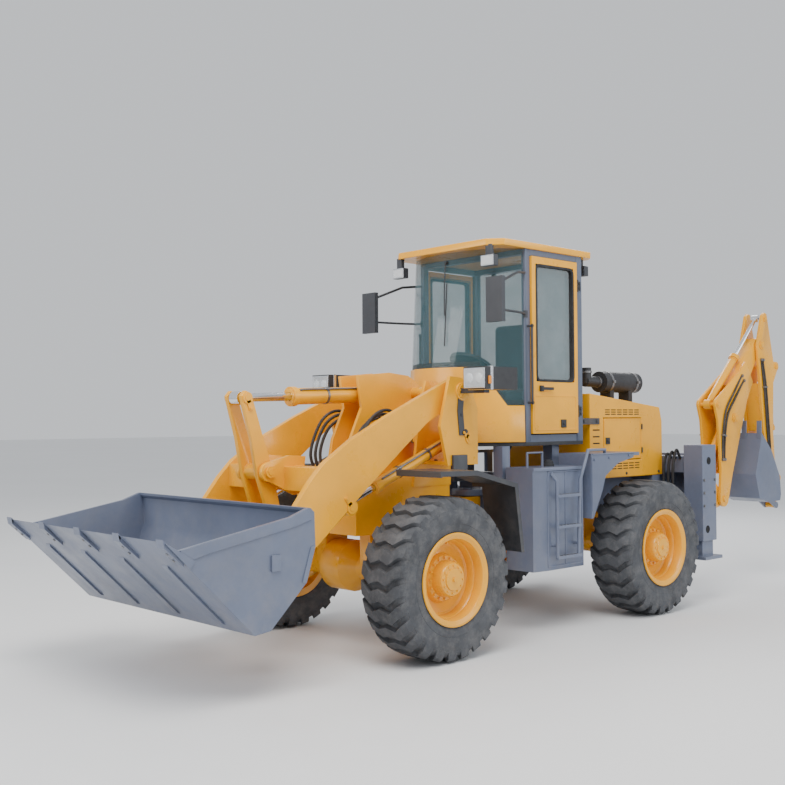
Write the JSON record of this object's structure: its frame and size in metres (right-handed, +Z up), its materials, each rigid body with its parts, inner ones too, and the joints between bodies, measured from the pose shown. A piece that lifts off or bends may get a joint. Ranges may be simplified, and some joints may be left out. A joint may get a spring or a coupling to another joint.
{
  "type": "articulated backhoe loader",
  "caption": "Yellow articulated backhoe loader with a front bucket, a glazed cab, a side-shifted digging arm and stabiliser legs.",
  "frame": {"origin": "bottom centre of the whole machine, on the ground", "axes": "+X towards the front loader bucket, +Y to the machine's left, +Z up"},
  "size_m": [7.973, 2.24, 3.205],
  "materials": {
    "tyre": "matte",
    "painted_grey": "satin",
    "painted_yellow": "satin",
    "painted_black": "satin",
    "engine_iron": "matte",
    "chrome": "polished",
    "glass": "clear",
    "seat_fabric": "matte"
  },
  "bodies": {
    "rear_frame": {"rear_chassis": "painted_grey", "engine_block": "engine_iron", "rear_axle": "painted_yellow", "hood": "painted_yellow", "air_cleaner": "painted_black", "side_tank_left": "painted_grey", "side_tank_right": "painted_grey", "cab_frame": "painted_grey", "cab_cowl": "painted_yellow", "cab_roof": "painted_yellow", "windshield": "glass", "rear_window": "glass", "cab_floor": "painted_black", "seat": "seat_fabric", "backhoe_frame": "painted_grey"},
    "front_frame": {"front_chassis": "painted_yellow", "front_axle": "painted_yellow", "front_fender_left": "painted_black", "front_fender_right": "painted_black"},
    "arms": {"loader_arms": "painted_yellow"},
    "crank": {"bellcrank": "painted_yellow"},
    "link": {"bucket_link": "painted_yellow"},
    "shovel": {"loader_bucket": "painted_grey"},
    "tilt_cylinder": {"tilt_barrel": "painted_yellow"},
    "tilt_piston": {"tilt_rod": "chrome"},
    "wheel_front_left": {"tyre_front_left": "tyre", "rim_front_left": "painted_yellow"},
    "wheel_front_right": {"tyre_front_right": "tyre", "rim_front_right": "painted_yellow"},
    "wheel_rear_left": {"tyre_rear_left": "tyre", "rim_rear_left": "painted_yellow"},
    "wheel_rear_right": {"tyre_rear_right": "tyre", "rim_rear_right": "painted_yellow"},
    "lift_cylinder_left": {"lift_left_barrel": "painted_yellow"},
    "lift_piston_left": {"lift_left_rod": "chrome"},
    "lift_cylinder_right": {"lift_right_barrel": "painted_yellow"},
    "lift_piston_right": {"lift_right_rod": "chrome"},
    "door_leaf_left": {"door_left": "painted_yellow", "door_glass_left": "glass"},
    "hood_leaf_left": {"hood_door_left": "painted_yellow"},
    "stabilizer_leg_left": {"stabilizer_left": "painted_grey"},
    "door_leaf_right": {"door_right": "painted_yellow", "door_glass_right": "glass"},
    "hood_leaf_right": {"hood_door_right": "painted_yellow"},
    "stabilizer_leg_right": {"stabilizer_right": "painted_grey"},
    "carriage": {"slide_carriage": "painted_grey"},
    "swing": {"swing_post": "painted_yellow"},
    "boom": {"backhoe_boom": "painted_yellow"},
    "stick": {"dipper": "painted_yellow"},
    "dig_bucket": {"backhoe_bucket": "painted_grey"},
    "rocker": {"bucket_rocker": "painted_yellow"},
    "push": {"push_link": "painted_yellow"},
    "boom_cylinder": {"boom_barrel": "painted_yellow"},
    "boom_piston": {"boom_rod": "chrome"},
    "dipper_cylinder": {"dipper_barrel": "painted_yellow"},
    "dipper_piston": {"dipper_rod": "chrome"},
    "bucket_cylinder": {"bucket_barrel": "painted_yellow"},
    "bucket_piston": {"bucket_rod": "chrome"}
  },
  "joints": [
    {"name": "articulation", "type": "hinge", "parent": "rear_frame", "child": "front_frame", "pos_m": [0.3515, 0, 1], "axis": [0, 0, 1], "range_deg": [-35, 35]},
    {"name": "wheel_front_left_spin", "type": "hinge", "parent": "front_frame", "child": "wheel_front_left", "pos_m": [1.6515, 0.915, 0.588], "axis": [0, 1, 0], "continuous": true},
    {"name": "wheel_front_right_spin", "type": "hinge", "parent": "front_frame", "child": "wheel_front_right", "pos_m": [1.6515, -0.915, 0.588], "axis": [0, 1, 0], "continuous": true},
    {"name": "wheel_rear_left_spin", "type": "hinge", "parent": "rear_frame", "child": "wheel_rear_left", "pos_m": [-0.9985, 0.915, 0.588], "axis": [0, 1, 0], "continuous": true},
    {"name": "wheel_rear_right_spin", "type": "hinge", "parent": "rear_frame", "child": "wheel_rear_right", "pos_m": [-0.9985, -0.915, 0.588], "axis": [0, 1, 0], "continuous": true},
    {"name": "lift", "type": "hinge", "parent": "front_frame", "child": "arms", "pos_m": [1.0915, 0, 1.94], "axis": [0, -1, 0], "range_deg": [-8, 75]},
    {"name": "bucket_dump", "type": "hinge", "parent": "arms", "child": "shovel", "pos_m": [2.7915, 0, 0.62], "axis": [0, 1, 0], "range_deg": [0, 95]},
    {"name": "crank_pivot", "type": "hinge", "parent": "arms", "child": "crank", "pos_m": [2.5815, 0, 1.355], "axis": [0, -1, 0], "range_deg": [-0.5, 42.11]},
    {"name": "link_pivot", "type": "hinge", "parent": "crank", "child": "link", "pos_m": [2.3715, 0, 0.86], "axis": [0, 1, 0], "range_deg": [-0.5, 76.67]},
    {"name": "tilt_barrel_pivot", "type": "hinge", "parent": "front_frame", "child": "tilt_cylinder", "pos_m": [1.0915, 0, 1.94], "axis": [0, -1, 0], "range_deg": [-11.5, 75.5]},
    {"name": "tilt_rod_slide", "type": "slide", "parent": "tilt_cylinder", "child": "tilt_piston", "axis": [0.9995, 0, -0.0316], "range_m": [-0.3986, 0.002]},
    {"name": "lift_left_barrel_pivot", "type": "hinge", "parent": "front_frame", "child": "lift_cylinder_left", "pos_m": [1.0115, 0.47, 1.575], "axis": [0, -1, 0], "range_deg": [-7.9, 69.88]},
    {"name": "lift_left_rod_slide", "type": "slide", "parent": "lift_cylinder_left", "child": "lift_piston_left", "axis": [0.9248, 0, -0.3803], "range_m": [-0.0422, 0.3785]},
    {"name": "lift_right_barrel_pivot", "type": "hinge", "parent": "front_frame", "child": "lift_cylinder_right", "pos_m": [1.0115, -0.47, 1.575], "axis": [0, -1, 0], "range_deg": [-7.9, 69.88]},
    {"name": "lift_right_rod_slide", "type": "slide", "parent": "lift_cylinder_right", "child": "lift_piston_right", "axis": [0.9248, 0, -0.3803], "range_m": [-0.0422, 0.3785]},
    {"name": "door_left_hinge", "type": "hinge", "parent": "rear_frame", "child": "door_leaf_left", "pos_m": [-0.4035, 0.645, 2.3], "axis": [0, 0, 1], "range_deg": [0, 100]},
    {"name": "hood_door_left_hinge", "type": "hinge", "parent": "rear_frame", "child": "hood_leaf_left", "pos_m": [-1.4535, 0.585, 1.5], "axis": [0, 0, 1], "range_deg": [0, 100]},
    {"name": "stabilizer_left_slide", "type": "slide", "parent": "rear_frame", "child": "stabilizer_leg_left", "axis": [0, 0, 1], "range_m": [-0.38, 0]},
    {"name": "door_right_hinge", "type": "hinge", "parent": "rear_frame", "child": "door_leaf_right", "pos_m": [-0.4035, -0.645, 2.3], "axis": [0, 0, -1], "range_deg": [0, 100]},
    {"name": "hood_door_right_hinge", "type": "hinge", "parent": "rear_frame", "child": "hood_leaf_right", "pos_m": [-1.4535, -0.585, 1.5], "axis": [0, 0, -1], "range_deg": [0, 100]},
    {"name": "stabilizer_right_slide", "type": "slide", "parent": "rear_frame", "child": "stabilizer_leg_right", "axis": [0, 0, 1], "range_m": [-0.38, 0]},
    {"name": "sideshift", "type": "slide", "parent": "rear_frame", "child": "carriage", "axis": [0, 1, 0], "range_m": [-1.2, 0]},
    {"name": "swing_turn", "type": "hinge", "parent": "carriage", "child": "swing", "pos_m": [-2.3485, 0.6, 1], "axis": [0, 0, 1], "range_deg": [-90, 90]},
    {"name": "boom_lift", "type": "hinge", "parent": "swing", "child": "boom", "pos_m": [-2.7185, 0.6, 0.9], "axis": [0, -1, 0], "range_deg": [0, 92]},
    {"name": "boom_barrel_pivot", "type": "hinge", "parent": "swing", "child": "boom_cylinder", "pos_m": [-2.4835, 0.6, 1.13], "axis": [0, -1, 0], "range_deg": [-0.5, 79.63]},
    {"name": "boom_rod_slide", "type": "slide", "parent": "boom_cylinder", "child": "boom_piston", "axis": [-0.6107, 0, 0.7919], "range_m": [-0.002, 0.3601]},
    {"name": "dipper_turn", "type": "hinge", "parent": "boom", "child": "stick", "pos_m": [-3.5185, 0.6, 2.5], "axis": [0, 1, 0], "range_deg": [0, 110]},
    {"name": "dipper_barrel_pivot", "type": "hinge", "parent": "boom", "child": "dipper_cylinder", "pos_m": [-2.6185, 0.6, 1.86], "axis": [0, 1, 0], "range_deg": [-0.5, 7.4]},
    {"name": "dipper_rod_slide", "type": "slide", "parent": "dipper_cylinder", "child": "dipper_piston", "axis": [-0.7254, 0, 0.6884], "range_m": [-0.4914, 0.002]},
    {"name": "bucket_turn", "type": "hinge", "parent": "stick", "child": "dig_bucket", "pos_m": [-3.7485, 0.6, 0.92], "axis": [0, 1, 0], "range_deg": [0, 130]},
    {"name": "rocker_pivot", "type": "hinge", "parent": "stick", "child": "rocker", "pos_m": [-3.7085, 0.6, 1.24], "axis": [0, 1, 0], "range_deg": [-0.5, 73.16]},
    {"name": "push_pivot", "type": "hinge", "parent": "rocker", "child": "push", "pos_m": [-3.9485, 0.6, 1.06], "axis": [0, -1, 0], "range_deg": [-0.5, 86.73]},
    {"name": "bucket_barrel_pivot", "type": "hinge", "parent": "stick", "child": "bucket_cylinder", "pos_m": [-3.8385, 0.6, 2.28], "axis": [0, 1, 0], "range_deg": [-0.5, 5.82]},
    {"name": "bucket_rod_slide", "type": "slide", "parent": "bucket_cylinder", "child": "bucket_piston", "axis": [-0.0898, 0, -0.996], "range_m": [-0.3496, 0.002]}
  ],
  "couplings": [
    {"joint": "crank_pivot", "follows": "bucket_dump", "ratio": 0.438},
    {"joint": "link_pivot", "follows": "bucket_dump", "ratio": 0.8018},
    {"joint": "tilt_barrel_pivot", "follows": "lift", "ratio": 1},
    {"joint": "tilt_rod_slide", "follows": "bucket_dump", "m_per_rad": -0.2392},
    {"joint": "lift_left_barrel_pivot", "follows": "lift", "ratio": 0.9251},
    {"joint": "lift_left_rod_slide", "follows": "lift", "m_per_rad": 0.2876},
    {"joint": "lift_right_barrel_pivot", "follows": "lift", "ratio": 0.9251},
    {"joint": "lift_right_rod_slide", "follows": "lift", "m_per_rad": 0.2876},
    {"joint": "boom_barrel_pivot", "follows": "boom_lift", "ratio": 0.8601},
    {"joint": "boom_rod_slide", "follows": "boom_lift", "m_per_rad": 0.223},
    {"joint": "dipper_barrel_pivot", "follows": "dipper_turn", "ratio": 0.0627},
    {"joint": "dipper_rod_slide", "follows": "dipper_turn", "m_per_rad": -0.2549},
    {"joint": "rocker_pivot", "follows": "bucket_turn", "ratio": 0.5589},
    {"joint": "push_pivot", "follows": "bucket_turn", "ratio": 0.6633},
    {"joint": "bucket_barrel_pivot", "follows": "bucket_turn", "ratio": 0.0409},
    {"joint": "bucket_rod_slide", "follows": "bucket_turn", "m_per_rad": -0.1532}
  ]
}
